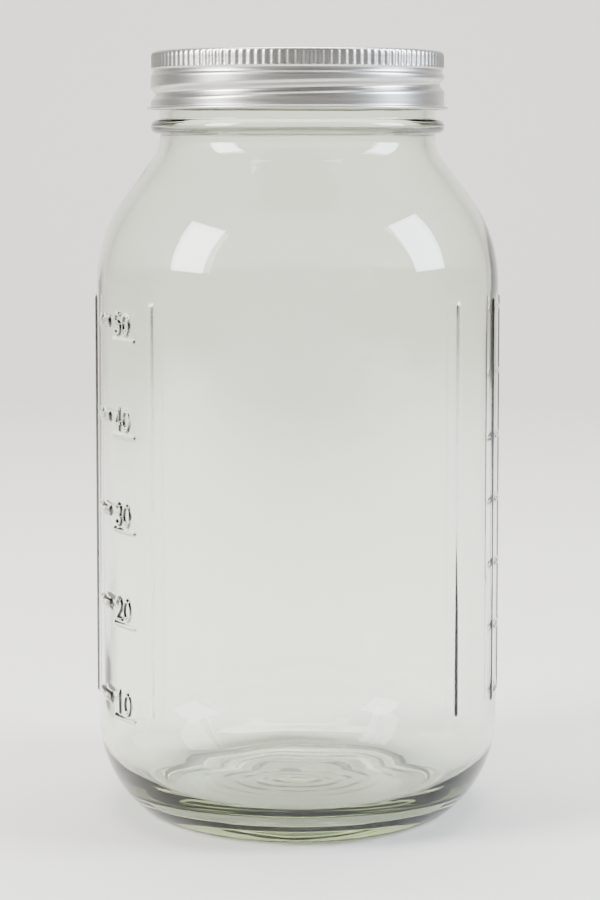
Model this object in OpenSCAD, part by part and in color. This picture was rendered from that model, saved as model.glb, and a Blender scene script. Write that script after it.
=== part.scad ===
// Half-gallon wide-mouth preserving jar of clear glass, closed by a flat lid under a screw band.
// Millimetres, Z up. The origin is the middle of the ring that the jar stands on, and -Y is the front.

/* [Glass body] */
// Outside diameter of the straight side
body_d = 122; // [114:1:132]
// Height at which the side turns into the shoulder
side_h = 160.5; // [150:0.5:190]
// Thickness of the side
side_wall = 3.4; // [2.6:0.1:4.2]
// Thickness of the floor at its middle
floor_t = 6; // [4:0.5:8]
// Height of the hollow under the floor at its middle
push_up = 2.2; // [1.2:0.1:4]
// Radius of the upper curve of the heel
heel_r = 35; // [30:0.5:40]
// Radius of the tight curve at the foot
foot_r = 6.5; // [4:0.5:9]
// Angle at which the two heel curves meet, down from level
heel_angle = 47.5; // [42:0.5:54]
// Radius of the inside corner between side and floor
inner_heel_r = 18; // [14:0.5:21]
// Width of the flat ring that the jar stands on
bearing_w = 2.6; // [1.6:0.1:5]

/* [Shoulder and neck] */
// Radius of the shoulder's outward curve
shoulder_r = 42; // [36:0.5:48]
// Slope of the shoulder where it is straight, from upright
shoulder_slope = 36; // [32:0.5:42]
// Radius of the curve from shoulder to neck
neck_fillet_r = 8; // [5:0.5:10]
// Outside diameter of the neck
neck_d = 83.5; // [78:0.5:88]
// Bore of the mouth
mouth_d = 76.6; // [70:0.2:79]
// Height of the upright neck, up to the rim
finish_h = 25; // [24:0.5:34]
// Rounding of the rim's two corners
rim_r = 1; // [0.5:0.1:1.4]
// Outside diameter of the bead under the thread
bead_d = 89; // [86:0.5:92]
// Height of the bead
bead_h = 4.3; // [3:0.1:4.8]
// Distance from the rim down to the middle of the bead
bead_drop = 21; // [20.5:0.1:21.5]

/* [Glass thread] */
// How far the thread stands out of the neck
thread_h = 1.25; // [0.9:0.05:1.4]
// Rise of the thread in one turn
thread_pitch = 6.35; // [5.8:0.05:6.6]
// Width of the thread at the neck
thread_w = 3.2; // [2.6:0.1:3.4]
// Width of the thread's crest
thread_crest_w = 1; // [0.6:0.1:1.2]
// Turns of thread
thread_turns = 1.35; // [1.1:0.05:1.5]
// Distance from the rim down to the thread's upper end
thread_drop = 3.4; // [3:0.1:3.8]

/* [Flat lid] */
// Thickness of the lid's sheet
lid_sheet = 0.3; // [0.2:0.05:0.5]
// How far the lid reaches past the neck
lid_overhang = 1.15; // [1:0.05:1.6]
// Height of the lid's turned-down edge
lid_edge_h = 1.1; // [0.8:0.1:1.6]
// Depth of the step from the lid's rim channel down to its panel
panel_drop = 1.1; // [0.6:0.1:1.6]
// Middle diameter of the ring pressed up in the panel
panel_ring_d = 60; // [50:1:64]
// Width of that ring
panel_ring_w = 4; // [3:0.5:6]
// Diameter of the raised middle of the panel
button_d = 27; // [16:1:34]
// Height of the ring and the middle above the panel
panel_rise = 0.5; // [0.3:0.1:0.6]
// Thickness of the sealing compound
seal_t = 0.7; // [0.5:0.1:1.2]

/* [Screw band] */
// Thickness of the band's sheet
band_sheet = 0.3; // [0.2:0.05:0.4]
// Overall height of the band
band_h = 17.5; // [17:0.1:18.2]
// Diameter of the opening in the band's top
opening_d = 71; // [60:1:76]
// Rounding between the band's top and its side
corner_r = 1.5; // [1:0.1:1.8]
// Height of the fluted edge below that rounding
flute_h = 3.7; // [3.4:0.1:3.9]
// Number of flutes round the edge
flute_n = 120; // [90:1:130]
// Depth of the flutes
flute_depth = 0.45; // [0.2:0.05:0.6]
// Width of the rolled thread groove
groove_w = 4.6; // [4:0.1:4.8]
// Turns of groove
groove_turns = 1.25; // [1:0.05:1.3]
// How far the hem stands out past the skirt
hem_proud = 1.1; // [0.6:0.1:1.6]
// Radius of the rolled hem
hem_r = 0.95; // [0.8:0.05:1]

/* [Clearances] */
// Air between the lid and the flutes around it
lid_clear = 0.6; // [0.4:0.1:1.5]
// Air between the lid and the band's top
band_play = 0.3; // [0.2:0.05:0.5]
// Air between the thread's crest and the skirt
thread_clear = 1.1; // [0.8:0.1:1.5]
// Air between the thread's crest and what passes over it as the band lifts
pass_clear = 0.35; // [0.3:0.05:0.6]
// How far the groove reaches in past the thread's crest
thread_bite = 0.3; // [0.1:0.05:0.4]
// Distance that the groove hooks below the thread, middle to middle
thread_seat = 1.75; // [1.7:0.05:2.2]

/* [Raised marks] */
// Height of the raised marks above the glass
mark_h = 0.5; // [0.3:0.05:0.8]
// Width of the upright ribs
rib_w = 1.6; // [1.2:0.1:2.4]
// Length of the upright ribs
rib_l = 121; // [100:1:122]
// Height of the ribs' lower ends
rib_z = 35.5; // [32:0.5:37]
// Number of lines on the left scale
line_n = 5; // [3:1:5]
// Height of the left scale's lowest line
line_z = 33.2; // [32:0.1:36]
// Rise from one line to the next
line_step = 28; // [24:0.1:29]
// Number of ticks on the right scale
tick_n = 7; // [4:1:7]
// Height of the right scale's lowest tick
tick_z = 37.4; // [34:0.1:38]
// Rise from one tick to the next
tick_step = 19.3; // [16:0.1:19.5]

/* [Hidden] */
$fn = 96;

body_r = body_d / 2;
neck_r = neck_d / 2;
mouth_r = mouth_d / 2;

// Places on the scales, in degrees round the jar from the front, to the right as positive
left_ribs = [-84, -43.5];
right_ribs = [49.6, 72.3, 89];
line_span = [-62.7, -50.5];
bar_span = [-74.7, -63.9];
tick_span = [72.6, 85.5];
line_h = 0.9;
bar_h = 2.4;
bar_rise = 5;
tick_h = 1.2;

// Heel, where the two curves and the standing ring meet
heel_z = (heel_r - foot_r) * sin(heel_angle) + foot_r;
foot_mid_r = body_r - heel_r + (heel_r - foot_r) * cos(heel_angle);
bearing_in_r = foot_mid_r - bearing_w;
hollow_step = 0.8;
floor_top = push_up + floor_t;
floor_dish = 1.6;

// The neck's lower end and the rim follow the shoulder
function slope_len(body, neck, curve, fillet) =
    (body - neck - (curve + fillet) * (1 - cos(shoulder_slope))) / sin(shoulder_slope);
function neck_z(body, neck, curve, fillet) =
    side_h + (curve + fillet) * sin(shoulder_slope)
    + slope_len(body, neck, curve, fillet) * cos(shoulder_slope);
rim_z = neck_z(body_r, neck_r, shoulder_r, neck_fillet_r) + finish_h;

// Glass thread: its height follows its angle, counted in degrees up the helix from +X
thread_r = neck_r + thread_h;
thread_top = 184;
thread_end = thread_top - 360 * thread_turns;
thread_fade = 30;
thread_sink = 0.6;
function thread_at(u) = rim_z - thread_drop + thread_pitch * (u - thread_top) / 360;

// Lid, stacked on the rim
lid_r = neck_r + lid_overhang;
lid_top = rim_z + seal_t + lid_sheet;
channel_r = mouth_r - 0.4;
channel_slope = 1.3;

// Band, stacked on the lid and hooked under the thread
band_top = lid_top + band_play + band_sheet;
flute_r = lid_r + lid_clear + band_sheet + flute_depth;
flute_top = band_top - corner_r;
flute_low = flute_top - flute_h;
lip = 0.05;
joint_lap = 0.15;
skirt_r = thread_r + thread_clear + band_sheet;
waist_r = thread_r + pass_clear + 0.1 + band_sheet;
waist_fade = 1.2;
hem_mid_r = skirt_r + hem_proud - hem_r;
hem_z = band_top - band_h + hem_r;
groove_in = thread_clear + thread_bite;
groove_top = 180;
groove_end = groove_top - 360 * groove_turns;
groove_fade = 40;

// A number that runs smoothly from 0 to 1 as x does
function ramp(x) = let (t = min(1, max(0, x))) t * t * (3 - 2 * t);

// Points along an arc about c
function arc(c, r, from, to, n = 12) =
    [for (i = [0 : n]) let (a = from + (to - from) * i / n) c + r * [cos(a), sin(a)]];

// Outline of a shoulder: outward curve, straight slope, and inward curve into the neck
function shoulder(body, neck, curve, fillet) =
    concat(arc([body - curve, side_h], curve, 0, shoulder_slope, 16),
           arc([neck + fillet, neck_z(body, neck, curve, fillet)], fillet, 180 + shoulder_slope, 180, 8));

// A point of a radial section, carried round to an angle
function placed(p, angle) = [p[0] * cos(angle), p[0] * sin(angle), p[1]];

// How far the band's groove is pressed in at an angle and a height
function groove_at(u, z) =
    let (depth = groove_in * ramp((u - groove_end) / groove_fade) * ramp((groove_top - u) / groove_fade),
         off = (z - thread_at(u) + thread_seat) / (groove_w / 2))
    abs(off) < 1 ? depth * pow(cos(90 * off), 2) : 0;

// Outer radius of the band's skirt: drawn in to a waist under the flutes, and grooved
function skirt_at(angle, z) =
    skirt_r - (skirt_r - waist_r) * ramp((z - flute_low + 2 * waist_fade) / waist_fade)
    - max([for (turn = [-1 : 1]) groove_at(angle + 360 * turn, z)])
      * (1 - ramp((z - flute_low + 2 * waist_fade) / waist_fade));

// A solid through a row of like sections; as a ring, the last section meets the first
module skin(sections, ring = false) {
    n = len(sections);
    m = len(sections[0]);
    sides = [for (j = [0 : n - (ring ? 1 : 2)], i = [0 : m - 1])
        let (a = j * m, b = (j + 1) % n * m, k = (i + 1) % m)
        each [[a + i, b + k, b + i], [a + i, a + k, b + k]]];
    caps = ring ? [] : [[for (i = [m - 1 : -1 : 0]) i], [for (i = [0 : m - 1]) (n - 1) * m + i]];
    polyhedron([for (s = sections) each s], concat(sides, caps));
}

// Places something made at +X at an angle from the front
module from_front(angle) { rotate([0, 0, angle - 90]) children(); }

module jar_outline() {
    bead_mid_r = bead_d / 2 - bead_h / 2;
    bead_angle = acos((neck_r - bead_mid_r) / (bead_h / 2));
    polygon(concat(
        [[0, push_up], [bearing_in_r - 2 * hollow_step, hollow_step], [bearing_in_r, 0]],
        arc([foot_mid_r, foot_r], foot_r, -90, -heel_angle - heel_angle / 8, 6),
        arc([body_r - heel_r, heel_z], heel_r, -heel_angle, 0, 12),
        shoulder(body_r, neck_r, shoulder_r, neck_fillet_r),
        arc([bead_mid_r, rim_z - bead_drop], bead_h / 2, -bead_angle, bead_angle, 12),
        arc([neck_r - rim_r, rim_z - rim_r], rim_r, 0, 90, 4),
        arc([mouth_r + rim_r, rim_z - rim_r], rim_r, 90, 180, 4),
        jar_inside()));
}

// The inside, from the mouth down to the middle of the floor
function jar_inside() =
    let (side = body_r - side_wall,
         wall = neck_r - mouth_r,
         down = shoulder(side, mouth_r, shoulder_r - side_wall, neck_fillet_r + wall),
         low = floor_top - floor_dish)
    concat([for (i = [len(down) - 1 : -1 : 0]) down[i]],
           arc([side - inner_heel_r, low + inner_heel_r], inner_heel_r, 0, -90, 12),
           [[0, floor_top]]);

module glass_thread() {
    flank = (thread_w - thread_crest_w) / 2 / thread_h;
    foot = thread_crest_w / 2 + flank * (thread_h + thread_sink);
    skin([for (u = [thread_end : 360 * thread_turns / 64 : thread_top + 0.01])
        let (rise = ramp((u - thread_end) / thread_fade) * ramp((thread_top - u) / thread_fade),
             crest = neck_r - thread_sink / 2 + (thread_h + thread_sink / 2) * rise,
             z = thread_at(u))
        [for (p = [[neck_r - thread_sink, z - foot], [crest, z - thread_crest_w / 2],
                   [crest, z + thread_crest_w / 2], [neck_r - thread_sink, z + foot]]) placed(p, u)]]);
}

// An upright rib with round ends, half sunk in the side
module rib(angle) {
    r = rib_w / 2;
    from_front(angle) translate([body_r + mark_h - r, 0, rib_z])
        rotate_extrude()
            polygon(concat([[0, 0]], arc([0, r], r, -80, 0, 5), arc([0, rib_l - r], r, 0, 80, 5), [[0, rib_l]]));
}

// A level bar that follows the side between two angles
module bar(span, z, h) {
    sink = 0.5;
    from_front(span[0])
        rotate_extrude(angle = span[1] - span[0])
            polygon([[body_r - sink, z - h / 2], [body_r + mark_h, z - h / 2 + mark_h / 2],
                     [body_r + mark_h, z + h / 2 - mark_h / 2], [body_r - sink, z + h / 2]]);
}

module glass_jar() {
    color([0.86, 0.9, 0.82, 0.45]) {
        rotate_extrude() jar_outline();
        glass_thread();
        for (angle = concat(left_ribs, right_ribs)) rib(angle);
        for (i = [0 : line_n - 1]) {
            bar(line_span, line_z + i * line_step, line_h);
            bar(bar_span, line_z + i * line_step + bar_rise, bar_h);
        }
        for (i = [0 : tick_n - 1]) bar(tick_span, tick_z + i * tick_step, tick_h);
    }
}

// A pressed sheet: its top face, its turned-down edge, and the top face again a sheet's thickness lower
module flat_lid() {
    panel = lid_top - panel_drop;
    ring = panel_ring_d / 2;
    slope = panel_rise;
    top = [[0, panel + panel_rise], [button_d / 2 - slope, panel + panel_rise], [button_d / 2, panel],
           [ring - panel_ring_w / 2, panel], [ring - panel_ring_w / 2 + slope, panel + panel_rise],
           [ring + panel_ring_w / 2 - slope, panel + panel_rise], [ring + panel_ring_w / 2, panel],
           [channel_r - channel_slope, panel], [channel_r, lid_top]];
    edge = [[lid_r - lid_sheet, lid_top], [lid_r, lid_top - lid_sheet], [lid_r, lid_top - lid_edge_h],
            [lid_r - lid_sheet, lid_top - lid_edge_h], [lid_r - lid_sheet, lid_top - lid_sheet]];
    under = [for (i = [len(top) - 1 : -1 : 0]) top[i] - [0, lid_sheet]];
    color([0.8, 0.8, 0.8]) rotate_extrude() polygon(concat(top, edge, under));
}

// The compound lies in the lid's channel and stands on the rim
module sealing_ring() {
    in_r = mouth_r + 0.6;
    out_r = lid_r - lid_sheet - 0.3;
    bevel = seal_t / 3;
    color([0.85, 0.45, 0.3]) rotate_extrude()
        polygon([[in_r, rim_z + bevel], [in_r + bevel, rim_z], [out_r - bevel, rim_z],
                 [out_r, rim_z + bevel], [out_r, rim_z + seal_t], [in_r, rim_z + seal_t]]);
}

// The top flange with its rounded corner
module band_flange() {
    inner = flute_r - flute_depth - band_sheet - lip;
    rotate_extrude()
        polygon(concat(
            [[opening_d / 2, band_top - band_sheet], [opening_d / 2, band_top]],
            arc([flute_r + lip - corner_r, band_top - corner_r], corner_r, 90, 0, 6),
            [[flute_r + lip, flute_top - joint_lap * 2], [inner, flute_top - joint_lap * 2],
             [inner, band_top - band_sheet]]));
}

// The fluted edge, a folded sheet of even thickness
module fluted_edge() {
    outer = [for (i = [0 : 2 * flute_n - 1])
        let (r = flute_r - (i % 2) * flute_depth, a = 180 * i / flute_n) r * [cos(a), sin(a)]];
    inner = [for (p = outer) p * (1 - band_sheet / norm(p))];
    translate([0, 0, flute_low - joint_lap])
        linear_extrude(height = flute_h)
            polygon(concat(outer, inner),
                    [[for (i = [0 : 2 * flute_n - 1]) i], [for (i = [0 : 2 * flute_n - 1]) 2 * flute_n + i]]);
}

// The ledge where the flutes end above the waist
module flute_ledge() {
    translate([0, 0, flute_low - 2 * joint_lap]) rotate_extrude()
        polygon([[thread_r + pass_clear, 0], [flute_r + lip, 0],
                 [flute_r + lip, 2 * joint_lap], [thread_r + pass_clear, 2 * joint_lap]]);
}

// The skirt with its rolled groove, from the ledge down into the hem
module skirt() {
    low = hem_z;
    high = flute_low - joint_lap;
    rows = 16;
    heights = [for (i = [0 : rows]) low + (high - low) * i / rows];
    skin([for (angle = [-180 : 5 : 175])
        concat([for (z = heights) placed([skirt_at(angle, z), z], angle)],
               [for (i = [rows : -1 : 0]) placed([skirt_at(angle, heights[i]) - band_sheet, heights[i]], angle)])],
        ring = true);
}

module screw_band() {
    color([0.78, 0.78, 0.78]) {
        band_flange();
        fluted_edge();
        flute_ledge();
        skirt();
        translate([0, 0, hem_z]) rotate_extrude() translate([hem_mid_r, 0]) circle(r = hem_r);
    }
}

glass_jar();
flat_lid();
sealing_ring();
screw_band();
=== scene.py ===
# A half-gallon wide-mouth preserving jar of clear glass, with a flat lid under a screw band.
from math import acos, atan2, cos, degrees, floor, hypot, pi, radians, sin

import bmesh
import bpy
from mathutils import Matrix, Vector


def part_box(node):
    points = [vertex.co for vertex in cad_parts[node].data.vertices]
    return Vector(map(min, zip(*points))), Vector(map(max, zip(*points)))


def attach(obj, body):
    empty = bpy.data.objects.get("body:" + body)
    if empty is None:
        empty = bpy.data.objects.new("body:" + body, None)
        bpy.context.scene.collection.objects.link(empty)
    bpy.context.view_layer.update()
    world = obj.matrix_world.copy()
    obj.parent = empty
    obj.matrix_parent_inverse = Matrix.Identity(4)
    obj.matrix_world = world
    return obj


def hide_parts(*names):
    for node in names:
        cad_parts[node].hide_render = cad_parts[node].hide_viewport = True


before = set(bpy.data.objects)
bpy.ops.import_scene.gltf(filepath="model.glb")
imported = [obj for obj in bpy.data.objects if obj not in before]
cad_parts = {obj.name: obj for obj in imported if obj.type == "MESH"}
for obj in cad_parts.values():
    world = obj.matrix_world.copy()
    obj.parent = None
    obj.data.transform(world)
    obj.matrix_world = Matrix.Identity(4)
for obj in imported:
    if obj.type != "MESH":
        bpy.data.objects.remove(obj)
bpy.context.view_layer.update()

# Camera: the photograph looks a little down on the jar from about 0.7 m in front of it.
# The picture's frame lies below the lens's axis, as on a camera that was levelled and then cropped.
lens_place, lens_tilt = (0, -0.71, 0.2048), 4.5
camera = bpy.data.objects.new("camera", bpy.data.cameras.new("camera"))
bpy.context.collection.objects.link(camera)
camera.location = lens_place
camera.rotation_euler = (radians(90 - lens_tilt), 0, 0)
camera.data.lens = 93.4
camera.data.sensor_width = 36
camera.data.shift_x = 0.0027
camera.data.shift_y = -0.146
bpy.context.scene.camera = camera

# Stage: a pale matt sweep, which runs from under the jar up behind it.
# It is painted board, smooth and without a gloss of its own, and it fills the views from the side.
sweep_w, sweep_front, sweep_back, sweep_rise, sweep_bend = 30, -15, 1.6, 2.6, 0.5


def linear(hex_colour):
    """An sRGB hex colour as the linear RGBA that shaders take."""
    parts = [int(hex_colour[i:i + 2], 16) / 255 for i in (1, 3, 5)]
    return [c / 12.92 if c <= 0.04045 else ((c + 0.055) / 1.055) ** 2.4 for c in parts] + [1]


def node(tree, kind, inputs=(), **settings):
    """Adds a node: settings are its properties, inputs its sockets by name or number."""
    made = tree.nodes.new(kind)
    for key, value in settings.items():
        setattr(made, key, value)
    for key, value in dict(inputs).items():
        if isinstance(value, bpy.types.NodeSocket):
            tree.links.new(value, made.inputs[key])
        else:
            made.inputs[key].default_value = value
    return made


def finish_of(name, grain=None, **settings):
    """A material: settings are the shader's plain inputs, and grain adds the nodes of its pattern."""
    made = bpy.data.materials.new(name)
    made.use_nodes = True
    shader = made.node_tree.nodes["Principled BSDF"]
    for key, value in settings.items():
        shader.inputs[key.replace("_", " ")].default_value = value
    if grain:
        grain(made.node_tree, shader)
    return made


def smooth_object(name, bm, material):
    """The finished mesh as a smoothly shaded object of one material."""
    for face in bm.faces:
        face.smooth = True
    made = bpy.data.objects.new(name, bpy.data.meshes.new(name))
    bm.to_mesh(made.data)
    made.data.materials.append(material)
    bpy.context.collection.objects.link(made)
    return made


def arc(centre, radius, start, end, steps):
    """Points along an arc of a section, as (distance out, height)."""
    return [(centre[0] + radius * cos(start + (end - start) * i / steps),
             centre[1] + radius * sin(start + (end - start) * i / steps)) for i in range(steps + 1)]


sweep_line = ([(sweep_front, 0)]
              + arc((sweep_back - sweep_bend, sweep_bend), sweep_bend, -pi / 2, 0, 12)
              + [(sweep_back, sweep_rise)])
sweep_bm = bmesh.new()
sweep_verts = [sweep_bm.verts.new((-sweep_w / 2, y, z)) for y, z in sweep_line]
sweep_edges = [sweep_bm.edges.new(pair) for pair in zip(sweep_verts, sweep_verts[1:])]
sweep_new = bmesh.ops.extrude_edge_only(sweep_bm, edges=sweep_edges)["geom"]
far_edge = [part for part in sweep_new if isinstance(part, bmesh.types.BMVert)]
bmesh.ops.translate(sweep_bm, vec=(sweep_w, 0, 0), verts=far_edge)
board_paint = finish_of("matt_board_paint", Base_Color=linear("#DAD8D3"), Roughness=0.9)
smooth_object("sweep", sweep_bm, board_paint)

# Light: two tall soft boxes at the sides, a broad one overhead, and one that lifts the backdrop.
# Their shapes show as the long highlights on the jar's shoulder and heel.
middle = (0, 0, 0.12)
# Light passes through many faces of glass on its way, so it may bounce more often than usual.
light_bounces = 24


def soft_box(name, place, target, size, watts, hex_colour):
    """A rectangular lamp at its place, as large as size says, that faces its target."""
    lamp = bpy.data.objects.new(name, bpy.data.lights.new(name, "AREA"))
    lamp.data.shape = "RECTANGLE"
    lamp.data.size, lamp.data.size_y = size
    lamp.data.energy = watts
    lamp.data.color = linear(hex_colour)[:3]
    lamp.location = place
    lamp.rotation_euler = (Vector(target) - Vector(place)).to_track_quat("-Z", "Y").to_euler()
    bpy.context.collection.objects.link(lamp)


soft_box("window_left", (-1.05, -0.5, 0.72), middle, (0.5, 0.75), 42, "#FFFFFF")
soft_box("window_right", (1.12, -0.2, 0.7), middle, (0.5, 0.75), 36, "#E4EEFF")
soft_box("overhead", (0, 0.1, 1.3), middle, (1.0, 0.8), 20, "#FFFDF8")
soft_box("backdrop", (0, 0.5, 1.9), (0, 1.5, 0.3), (1.6, 0.6), 36, "#FFFDF8")
bpy.context.scene.cycles.max_bounces = light_bounces
bpy.context.scene.cycles.transmission_bounces = light_bounces
studio = bpy.data.worlds.new("studio")
studio.use_nodes = True
studio_air = studio.node_tree.nodes["Background"]
studio_air.inputs["Color"].default_value = linear("#D6D1C8")
studio_air.inputs["Strength"].default_value = 0.42
bpy.context.scene.world = studio

# Glass jar: one piece of clear soda-lime glass, pressed and blown in a mould.
# Its neck is threaded, its side has raised ribs, a numbered scale and a ticked one, and it stands
# on a narrow ring round a hollow floor.
MM = 0.001
HAIR = 0.01
# Sizes are in millimetres, and two that differ by less than HAIR are taken as the same.
body_r, side_z, side_wall = 61, 160.5, 3.4
shoulder_r, shoulder_slope, neck_fillet = 42, radians(36), 8
neck_r, mouth_r, finish_h, rim_r = 41.75, 38.3, 25, 1
heel_r, foot_r, heel_angle, inner_heel = 35, 6.5, radians(47.5), 18
floor_t, push_up, floor_dish, ring_w, ring_step = 6, 2.2, 1.6, 2.6, 0.8
bead_r, bead_h, bead_drop = 44.5, 4.3, 21
thread_h, thread_pitch, thread_w, thread_crest = 1.25, 6.35, 3.2, 1.0
thread_drop, thread_top, thread_turns, thread_fade = 3.4, 184, 1.35, 30
rim_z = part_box("glass_jar")[1][2] / MM
foot_mid = body_r - heel_r + (heel_r - foot_r) * cos(heel_angle)
heel_z = (heel_r - foot_r) * sin(heel_angle) + foot_r


def line(start, end, steps):
    """Points between two ends of a section's straight stretch, without the ends."""
    return [(start[0] + (end[0] - start[0]) * i / steps,
             start[1] + (end[1] - start[1]) * i / steps) for i in range(1, steps)]


def ramp(x):
    """Runs smoothly from 0 to 1 as x does."""
    x = min(1, max(0, x))
    return x * x * (3 - 2 * x)


def shoulder(body, neck, curve, fillet, steps):
    """Outward curve, straight slope, and inward curve into the neck."""
    run = (body - neck - (curve + fillet) * (1 - cos(shoulder_slope))) / sin(shoulder_slope)
    low = arc((body - curve, side_z), curve, 0, shoulder_slope, steps)
    neck_z = side_z + (curve + fillet) * sin(shoulder_slope) + run * cos(shoulder_slope)
    high = arc((neck + fillet, neck_z), fillet, pi + shoulder_slope, pi, steps // 2)
    return low + line(low[-1], high[0], 8) + high


def spun(profile, steps, closed):
    """A bmesh turned from a section's (radius, height) points in millimetres."""
    bm = bmesh.new()
    verts = [bm.verts.new((r * MM, 0, z * MM)) for r, z in profile]
    pairs = list(zip(verts, verts[1:])) + ([(verts[-1], verts[0])] if closed else [])
    edges = [bm.edges.new(pair) for pair in pairs]
    bmesh.ops.spin(bm, geom=verts + edges, cent=(0, 0, 0), axis=(0, 0, 1), dvec=(0, 0, 0),
                   angle=2 * pi, steps=steps, use_merge=True)
    bmesh.ops.remove_doubles(bm, verts=bm.verts, dist=1e-6)
    bmesh.ops.recalc_face_normals(bm, faces=bm.faces)
    return bm


def radius_and_height(v):
    """Where a point lies in the jar's section, in millimetres."""
    return hypot(v.co.x, v.co.y) / MM, v.co.z / MM


def set_radius(v, radius):
    """Moves a point straight out from the jar's axis, or in, to a radius in millimetres."""
    share = radius * MM / hypot(v.co.x, v.co.y)
    v.co.x *= share
    v.co.y *= share


def piece(name, bm, material, node_name, body):
    """Makes the finished mesh an object that stands for its node and rides on its body."""
    made = smooth_object(name, bm, material)
    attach(made, body)
    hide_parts(node_name)


def thread_z(u):
    """Height of the thread's middle, u degrees up its helix from +X."""
    return rim_z - thread_drop + thread_pitch * (u - thread_top) / 360


def thread_rise(angle, z):
    """How far the thread stands out of the neck at a place."""
    start = thread_top - 360 * thread_turns
    flank = (thread_w - thread_crest) / 2
    best = 0
    for u in (angle - 360, angle):
        if start <= u <= thread_top:
            fade = ramp((u - start) / thread_fade) * ramp((thread_top - u) / thread_fade)
            best = max(best, fade * ramp((thread_w / 2 - abs(z - thread_z(u))) / flank))
    return best * thread_h


mark_h, rib_w, rib_z, rib_l = 0.5, 1.6, 35.5, 121
rib_angles = (-84, -43.5, 49.6, 72.3, 89)
line_n, line_z, line_step, line_h = 5, 33.2, 28, 0.9
bar_h, bar_rise = 2.4, 5
tick_n, tick_z, tick_step, tick_h = 7, 37.4, 19.3, 1.2
line_from, line_to, bar_from, bar_to, tick_from, tick_to = -62.7, -50.5, -74.7, -63.9, 72.6, 85.5
digit_w, digit_h, digit_gap, stroke_w, digit_from, digit_lift = 3.2, 5.8, 1.5, 0.95, -60.6, 1.7
no_mark, rib_reach, level_reach, row_lead, digit_reach = 9, 3, 2, 2, 1
# The numerals' strokes, as shares of their width and height.
DIGITS = {
    "0": [(0.5 + 0.5 * sin(i * pi / 6), 0.5 - 0.5 * cos(i * pi / 6)) for i in range(13)],
    "1": [(0.15, 0.78), (0.5, 1), (0.5, 0)],
    "2": [(0, 0.75), (0.15, 0.95), (0.5, 1), (0.85, 0.92), (1, 0.72), (0.85, 0.5), (0, 0), (1, 0)],
    "3": [(0, 0.9), (0.4, 1), (0.85, 0.93), (0.95, 0.72), (0.75, 0.55), (0.4, 0.52),
          (0.8, 0.46), (1, 0.27), (0.8, 0.05), (0.4, 0), (0, 0.1)],
    "4": [(0.72, 0), (0.72, 1), (0, 0.3), (1, 0.3)],
    "5": [(0.9, 1), (0.12, 1), (0.05, 0.55), (0.5, 0.62), (0.9, 0.52),
          (1, 0.3), (0.8, 0.05), (0.4, 0), (0, 0.1)],
}


def round_body(angle):
    """Millimetres round the body's side, for an angle from the front."""
    return radians(angle) * body_r


def to_stroke(x, z, points):
    """Distance from a place to a line through points."""
    best = hypot(x - points[0][0], z - points[0][1])
    for (ax, az), (bx, bz) in zip(points, points[1:]):
        dx, dz = bx - ax, bz - az
        t = min(1, max(0, ((x - ax) * dx + (z - az) * dz) / (dx * dx + dz * dz)))
        best = min(best, hypot(x - ax - t * dx, z - az - t * dz))
    return best


def to_level(x, z, from_angle, to_angle, height, thick):
    """Distance past the edge of a level bar with round ends; below 0 inside it."""
    half = thick / 2
    ends = [(round_body(from_angle) + half, height), (round_body(to_angle) - half, height)]
    return to_stroke(x, z, ends) - half


def to_mark(angle, z):
    """Distance past the nearest mark's edge in millimetres, for an angle from the front."""
    x = round_body(angle)
    best = no_mark
    for rib in rib_angles:
        rib_x = round_body(rib)
        if abs(x - rib_x) < rib_reach:
            rib_line = [(rib_x, rib_z + rib_w / 2), (rib_x, rib_z + rib_l - rib_w / 2)]
            best = min(best, to_stroke(x, z, rib_line) - rib_w / 2)
    if bar_from - level_reach < angle < line_to + level_reach:
        row = min(line_n - 1, max(0, floor((z - line_z + row_lead) / line_step)))
        base = line_z + row * line_step
        best = min(best, to_level(x, z, line_from, line_to, base, line_h),
                   to_level(x, z, bar_from, bar_to, base + bar_rise, bar_h))
        for i, digit in enumerate(str(10 * (row + 1))):
            left = round_body(digit_from) + i * (digit_w + digit_gap)
            if left - digit_reach < x < left + digit_w + digit_reach:
                stroke = [(left + px * digit_w, base + digit_lift + pz * digit_h) for px, pz in DIGITS[digit]]
                best = min(best, to_stroke(x, z, stroke) - stroke_w / 2)
    if tick_from - level_reach < angle < tick_to + level_reach:
        row = min(tick_n - 1, max(0, round((z - tick_z) / tick_step)))
        best = min(best, to_level(x, z, tick_from, tick_to, tick_z + row * tick_step, tick_h))
    return best


ripple_h, ripple_gap, ripple_fade, ring_lip = 0.15, 6.5, 1.2, 0.3


def underside(steps):
    """The hollow floor's underside from its middle out, with shallow turned rings."""
    inner = foot_mid - ring_w
    reach = inner - 2 * ring_step
    points = []
    for i in range(steps):
        r = reach * i / steps
        dome = ring_step + (push_up - ring_step) * (1 - (r / reach) ** 2)
        ripple = ripple_h * sin(r * 2 * pi / ripple_gap) * ramp(r / ripple_gap) * (ripple_fade - r / reach)
        points.append((r, dome + ripple))
    return points + [(reach, ring_step), (inner - ring_step / 2, ring_lip), (inner, 0)]


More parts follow.
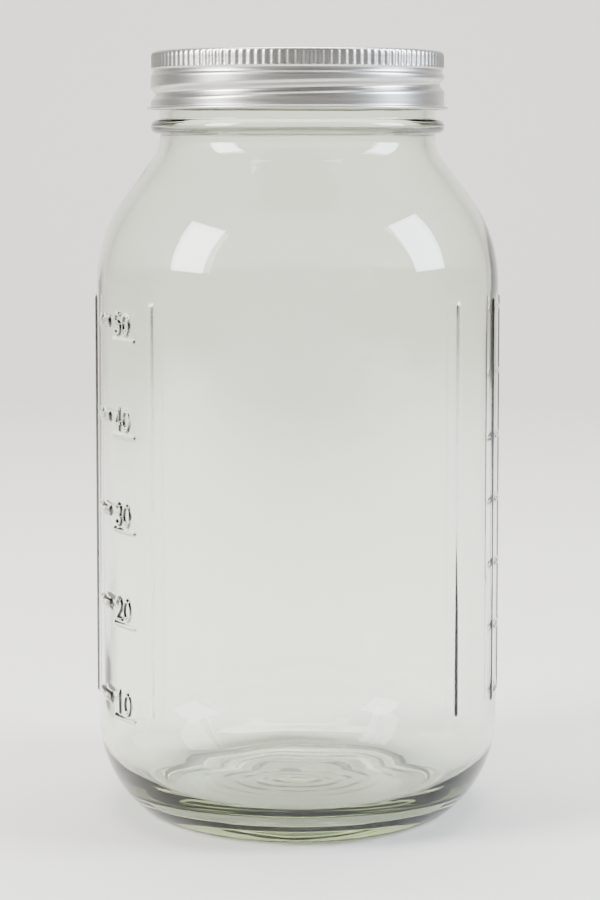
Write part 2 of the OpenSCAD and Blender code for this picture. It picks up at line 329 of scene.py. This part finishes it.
floor_z = push_up + floor_t - floor_dish
inner_side = body_r - side_wall
bead_mid = bead_r - bead_h / 2
bead_turn = acos((neck_r - bead_mid) / (bead_h / 2))
side_rows, column_n, arc_gap = 66, 192, 0.05
outer_shoulder = shoulder(body_r, neck_r, shoulder_r, neck_fillet, 18)
inner_shoulder = shoulder(inner_side, mouth_r, shoulder_r - side_wall, neck_fillet + neck_r - mouth_r, 16)
bead_arc = arc((bead_mid, rim_z - bead_drop), bead_h / 2, -bead_turn, bead_turn, 10)
rim_arc = arc((neck_r - rim_r, rim_z - rim_r), rim_r, 0, pi / 2, 5)
mouth_arc = arc((mouth_r + rim_r, rim_z - rim_r), rim_r, pi / 2, pi, 5)
glass_section = (
    underside(36)
    + arc((foot_mid, foot_r), foot_r, -pi / 2, -heel_angle - arc_gap, 7)
    + arc((body_r - heel_r, heel_z), heel_r, -heel_angle, 0, 18)
    + line((body_r, heel_z), (body_r, side_z), side_rows)
    + outer_shoulder + line(outer_shoulder[-1], bead_arc[0], 3) + bead_arc
    + line(bead_arc[-1], rim_arc[0], 40) + rim_arc + line(rim_arc[-1], mouth_arc[0], 3) + mouth_arc
    + line(mouth_arc[-1], inner_shoulder[-1], 8) + inner_shoulder[::-1]
    + line((inner_side, side_z), (inner_side, floor_z + inner_heel), 30)
    + arc((inner_side - inner_heel, floor_z + inner_heel), inner_heel, 0, -pi / 2, 18)
    + line((inner_side - inner_heel, floor_z), (0, floor_z + floor_dish), 14)
    + [(0, floor_z + floor_dish)])
glass_bm = spun(glass_section, column_n, closed=False)


def front_angle(v):
    """Degrees round the jar from the front, to the right as positive."""
    return degrees(atan2(v.co.x, -v.co.y))


def on_side(v):
    """True on the body's straight outer side, where all the marks stand."""
    r, z = radius_and_height(v)
    return r > body_r - side_depth and heel_z - HAIR < z < side_z + HAIR


def on_number(v):
    """True where one of the left scale's numbers stands."""
    x = round_body(front_angle(v)) - round_body(digit_from)
    z = v.co.z / MM
    return (on_side(v) and z < line_z + line_n * line_step
            and -number_margin < x < 2 * digit_w + digit_gap + number_margin
            and number_margin < (z - line_z) % line_step < digit_lift + digit_h + number_head)


def subdivide(bm, faces, cuts):
    """Cuts each edge of some faces, so that they carry finer relief."""
    chosen = set(faces)
    edges = [edge for edge in bm.edges if chosen.intersection(edge.link_faces)]
    bmesh.ops.subdivide_edges(bm, edges=edges, cuts=cuts, use_grid_fill=True)


side_depth, mark_margin, number_margin, number_head = 0.5, 2.2, 0.8, 0.9
sides = [face for face in glass_bm.faces if all(on_side(v) for v in face.verts)]
marked = [face for face in sides
          if min(to_mark(front_angle(v), v.co.z / MM) for v in face.verts) < mark_margin]
subdivide(glass_bm, marked, 3)
subdivide(glass_bm, [face for face in glass_bm.faces if all(on_number(v) for v in face.verts)], 1)

slope_w = 0.28
stipple_h, stipple_n, ring_edge = 0.3, column_n / 2, 0.1
# The inner wall's unevenness: waves round the jar, each with the height over which it leans.
wave_h, wide_waves, wide_lean, fine_waves, fine_lean, fine_share = 0.12, 5, 40, 13, 25, 0.6
wave_top, wave_fade = side_z + 20, 15
for v in glass_bm.verts:
    r, z = radius_and_height(v)
    turn = atan2(v.co.y, v.co.x)
    if on_side(v):
        set_radius(v, body_r + mark_h * ramp(0.5 - to_mark(front_angle(v), z) / (2 * slope_w)))
    elif z > rim_z - finish_h and abs(r - neck_r) < HAIR:
        set_radius(v, r + thread_rise(degrees(turn), z))
    elif mouth_r + 2 < r < inner_side + HAIR and floor_z + inner_heel < z < wave_top:
        wave = sin(wide_waves * turn + z / wide_lean) + fine_share * sin(fine_waves * turn - z / fine_lean)
        set_radius(v, r + wave_h * wave * ramp((wave_top - z) / wave_fade))
    elif z < 5 * HAIR and r > foot_mid - ring_w - ring_edge:
        v.co.z += stipple_h * MM * (0.5 - 0.5 * cos(stipple_n * turn))

roll_gap, roll_h = 18, 0.6


def soda_lime_glass(tree, shader):
    """Clear and very smooth, with a faint roll in its surface; it only looks green where it is thick."""
    place = node(tree, "ShaderNodeTexCoord")
    roll = node(tree, "ShaderNodeTexNoise",
                {"Vector": place.outputs["Object"], "Scale": 1 / (roll_gap * MM), "Detail": 1.0})
    bump = node(tree, "ShaderNodeBump",
                {"Height": roll.outputs["Fac"], "Strength": 0.12, "Distance": roll_h * MM})
    tree.links.new(bump.outputs["Normal"], shader.inputs["Normal"])
    tint = node(tree, "ShaderNodeVolumeAbsorption", {"Color": linear("#C8DA8C"), "Density": 16.0})
    tree.links.new(tint.outputs["Volume"], tree.nodes["Material Output"].inputs["Volume"])


clear_glass = finish_of("soda_lime_glass_pressed", soda_lime_glass, Base_Color=linear("#FCFEFA"),
                        Roughness=0.0, IOR=1.52, Transmission_Weight=1.0)
piece("jar_glass", glass_bm, clear_glass, "glass_jar", "jar")

# Sealing compound: a moulded rubbery ring, bonded in the channel under the lid's edge.
# It is what stands on the glass rim.
seal_low, seal_high = (corner[2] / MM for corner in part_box("sealing_ring"))
seal_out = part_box("sealing_ring")[1][0] / MM
seal_inset, seal_round, mottle_gap = 0.6, 0.22, 1.5
seal_in = mouth_r + seal_inset


def compound(tree, shader):
    """Matt, slightly mottled, with a soft moulded skin."""
    place = node(tree, "ShaderNodeTexCoord")
    mottle = node(tree, "ShaderNodeTexNoise",
                  {"Vector": place.outputs["Object"], "Scale": 1 / (mottle_gap * MM), "Detail": 3.0})
    # A colour mix has its factor on socket 0 and its two colours on sockets 6 and 7.
    shade = node(tree, "ShaderNodeMix",
                 {0: mottle.outputs["Fac"], 6: linear("#8A4A36"), 7: linear("#A25A40")}, data_type="RGBA")
    tree.links.new(shade.outputs[2], shader.inputs["Base Color"])


seal_section = (arc((seal_in + seal_round, seal_low + seal_round), seal_round, pi, 1.5 * pi, 4)
                + arc((seal_out - seal_round, seal_low + seal_round), seal_round, -pi / 2, 0, 4)
                + [(seal_out, seal_high), (seal_in, seal_high)])
plastisol = finish_of("plastisol_compound", compound, Roughness=0.6)
piece("seal_compound_ring", spun(seal_section, 144, closed=True), plastisol, "sealing_ring", "lid")

# Flat lid: a disc pressed from tinned steel sheet, with a stepped panel, a raised ring and a raised middle.
# It lies loose in the band and is drawn down on the rim.
sheet_t = 0.3
lid_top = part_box("flat_lid")[1][2] / MM
lid_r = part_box("flat_lid")[1][0] / MM
lid_edge, panel_drop, panel_rise = 1.1, 1.1, 0.5
channel_r, channel_slope, ring_mid, ring_half, button_r, press_ease = 37.9, 1.3, 30, 2, 13.5, 0.3
grain_l, grain_w, grain_deep = 12, 0.6, 2.5


def tinned_steel(tree, shader):
    """Rolled and tinned sheet: a satin grey with the faint long grain of its rolling."""
    place = node(tree, "ShaderNodeTexCoord")
    along = node(tree, "ShaderNodeMapping", {
        "Vector": place.outputs["Object"],
        "Scale": (1 / (grain_l * MM), 1 / (grain_w * MM), 1 / (grain_deep * MM))})
    grain = node(tree, "ShaderNodeTexNoise", {"Vector": along.outputs["Vector"], "Scale": 1.0, "Detail": 4.0})
    gloss = node(tree, "ShaderNodeMapRange", {"Value": grain.outputs["Fac"], "To Min": 0.28, "To Max": 0.42})
    tree.links.new(gloss.outputs["Result"], shader.inputs["Roughness"])
    shade = node(tree, "ShaderNodeMix",
                 {0: grain.outputs["Fac"], 6: linear("#C2C1BE"), 7: linear("#D6D5D2")}, data_type="RGBA")
    tree.links.new(shade.outputs[2], shader.inputs["Base Color"])


def eased(corners, pull):
    """A section's line with each corner cut off a little way before and after it."""
    points = [corners[0]]
    for before, here, after in zip(corners, corners[1:], corners[2:]):
        for end in (before, after):
            share = pull / hypot(end[0] - here[0], end[1] - here[1])
            points.append((here[0] + (end[0] - here[0]) * share, here[1] + (end[1] - here[1]) * share))
    return points + [corners[-1]]


def lid_face(drop):
    """The lid's pressed face from the middle out, at a sheet's side."""
    panel = lid_top - panel_drop - drop
    ring_in, ring_out = ring_mid - ring_half, ring_mid + ring_half
    corners = [(0, panel_rise), (button_r - panel_rise, panel_rise), (button_r, 0),
               (ring_in, 0), (ring_in + panel_rise, panel_rise),
               (ring_out - panel_rise, panel_rise), (ring_out, 0),
               (channel_r - channel_slope, 0), (channel_r, panel_drop)]
    return [(r, panel + z) for r, z in eased(corners, press_ease)]


lid_corner = (lid_r - sheet_t, lid_top - sheet_t)
lid_section = (
    lid_face(0)
    + arc(lid_corner, sheet_t, pi / 2, 0, 4)
    + [(lid_r, lid_top - lid_edge), (lid_r - sheet_t, lid_top - lid_edge), lid_corner]
    + lid_face(sheet_t)[::-1])
rolled_steel = finish_of("tinned_steel_rolled", tinned_steel, Metallic=1.0)
piece("lid_disc", spun(lid_section, 180, closed=False), rolled_steel, "flat_lid", "lid")

# Screw band: a ring drawn from thin tinned steel, fluted round its upper edge for the fingers.
# A helical groove is rolled into its skirt, which runs under the glass thread, and its foot is
# rolled out in a hem.
band_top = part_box("screw_band")[1][2] / MM
band_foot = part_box("screw_band")[0][2] / MM
opening_r, corner_r, flute_h, flute_n, flute_depth = 35.5, 1.5, 3.7, 120, 0.45
lid_clear, thread_clear, pass_clear, thread_bite, thread_seat = 0.6, 1.1, 0.35, 0.3, 1.75
groove_w, groove_turns, groove_top, groove_fade, waist_fade = 4.6, 1.25, 180, 40, 1.2
hem_proud, hem_r, hem_rise, hem_lip, hem_curve = 1.1, 0.45, 0.45, 0.1, 0.4
columns_a_flute, skirt_rows = 4, 40
flute_fade, flute_ease, flute_share, flute_reach = 0.7, 0.12, 0.7, 1.1
flute_start, flute_second, flute_last_but_one, flute_last = 0.3, 0.9, 1.2, 0.5
flute_r = lid_r + lid_clear + sheet_t + flute_depth
flute_top = band_top - corner_r
flute_low = flute_top - flute_h
skirt_r = neck_r + thread_h + thread_clear + sheet_t
waist_r = neck_r + thread_h + pass_clear + 0.1 + sheet_t
hem_fold = (skirt_r + hem_proud - hem_r, band_foot + hem_r)
hem_top = 2 * hem_r + hem_rise
skirt_low, skirt_high = band_foot + hem_top, flute_low - 0.2
waist_z = flute_low - 2 * waist_fade
flute_end = flute_top + corner_r * flute_share


def pressed_in(angle, z):
    """How far the groove is pressed in at a place, in millimetres."""
    start = groove_top - 360 * groove_turns
    best = 0
    for u in (angle - 360, angle, angle + 360):
        off = (z - thread_z(u) + thread_seat) / (groove_w / 2)
        if abs(off) < 1:
            fade = ramp((u - start) / groove_fade) * ramp((groove_top - u) / groove_fade)
            best = max(best, fade * cos(off * pi / 2) ** 2)
    return best * (thread_clear + thread_bite)


skirt_heights = [skirt_low + (skirt_high - skirt_low) * i / skirt_rows for i in range(skirt_rows + 1)]
skirt_line = [(skirt_r - (skirt_r - waist_r) * ramp((z - waist_z) / waist_fade), z) for z in skirt_heights]
# The flutes' rows of points stand close together at both ends, where they fade out.
flute_line = [(flute_r - flute_ease, flute_low),
              (flute_r, flute_low + flute_start), (flute_r, flute_low + flute_second),
              (flute_r, flute_top - flute_last_but_one), (flute_r, flute_top - flute_last)]
hem_line = ([(skirt_r - sheet_t, band_foot + hem_lip)]
            + arc(hem_fold, hem_r, -pi / 2, pi / 2, 10)
            + arc((skirt_r + hem_curve, skirt_low - 2 * HAIR), hem_curve, 1.5 * pi, pi, 4))
band_section = (
    hem_line + skirt_line + flute_line
    + arc((flute_r - corner_r, band_top - corner_r), corner_r, 0, pi / 2, 8)
    + [(opening_r + 0.1, band_top), (opening_r, band_top - 0.1), (opening_r, band_top - sheet_t)]
    + [(flute_r - corner_r, band_top - sheet_t)]
    + arc((flute_r - corner_r, band_top - corner_r), corner_r - sheet_t, pi / 2, 0, 6)
    + [(r - sheet_t, z) for r, z in flute_line[::-1]] + [(r - sheet_t, z) for r, z in skirt_line[::-1]])
band_bm = spun(band_section, flute_n * columns_a_flute, closed=True)
for v in band_bm.verts:
    r, z = radius_and_height(v)
    angle = degrees(atan2(v.co.y, v.co.x))
    if flute_low - 5 * HAIR < z < flute_end and r > flute_r - flute_reach:
        fade = ramp((z - flute_low + flute_start) / flute_fade) * ramp((flute_end - z) / flute_fade)
        set_radius(v, r - flute_depth * fade * (0.5 - 0.5 * cos(radians(angle * flute_n))))
    elif skirt_low - HAIR < z < flute_low - 10 * HAIR and r > mouth_r + 2:
        set_radius(v, r - pressed_in(angle, z) * (1 - ramp((z - waist_z) / waist_fade)))

spin_l, spin_w, spin_h = 25, 0.3, 0.05


def band_steel(tree, shader):
    """Tinned steel spun in the rolling machine: satin silver with a fine grain round the ring."""
    place = node(tree, "ShaderNodeTexCoord")
    along = node(tree, "ShaderNodeMapping", {
        "Vector": place.outputs["Object"],
        "Scale": (1 / (spin_l * MM), 1 / (spin_l * MM), 1 / (spin_w * MM))})
    grain = node(tree, "ShaderNodeTexNoise", {"Vector": along.outputs["Vector"], "Scale": 1.0, "Detail": 3.0})
    gloss = node(tree, "ShaderNodeMapRange", {"Value": grain.outputs["Fac"], "To Min": 0.22, "To Max": 0.4})
    tree.links.new(gloss.outputs["Result"], shader.inputs["Roughness"])
    shade = node(tree, "ShaderNodeMix",
                 {0: grain.outputs["Fac"], 6: linear("#B9B8B5"), 7: linear("#CFCECB")}, data_type="RGBA")
    tree.links.new(shade.outputs[2], shader.inputs["Base Color"])
    bump = node(tree, "ShaderNodeBump",
                {"Height": grain.outputs["Fac"], "Strength": 0.15, "Distance": spin_h * MM})
    tree.links.new(bump.outputs["Normal"], shader.inputs["Normal"])


spun_steel = finish_of("tinned_steel_spun", band_steel, Metallic=1.0)
piece("band_ring", band_bm, spun_steel, "screw_band", "band")
